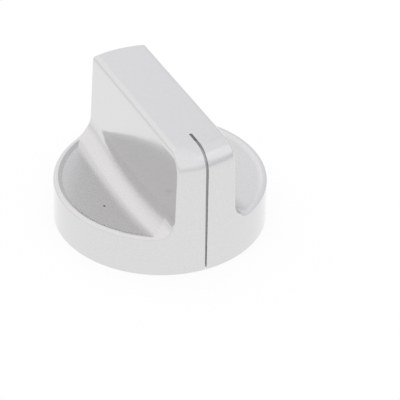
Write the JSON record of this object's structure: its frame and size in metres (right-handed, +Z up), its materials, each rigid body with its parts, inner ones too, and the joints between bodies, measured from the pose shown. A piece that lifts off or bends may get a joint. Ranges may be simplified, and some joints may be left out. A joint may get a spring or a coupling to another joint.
{
  "type": "appliance control knob",
  "caption": "Round-skirted control knob with a tall bar grip, dished sides and a pointer groove, which pushes onto a flatted spindle.",
  "frame": {"origin": "centre of the skirt's foot, on the spindle axis", "axes": "+Z up the spindle axis and out of the panel, the pointer end of the grip towards -Y, the grip's side walls towards +X and -X"},
  "size_m": [0.045, 0.045, 0.028],
  "materials": {
    "silver_finish": "moulded plastic with a satin silver metal coat",
    "spring_steel": "plain rolled strip"
  },
  "bodies": {
    "root": {"knob_body": "silver_finish", "spindle_clip": "spring_steel"}
  },
  "joints": []
}
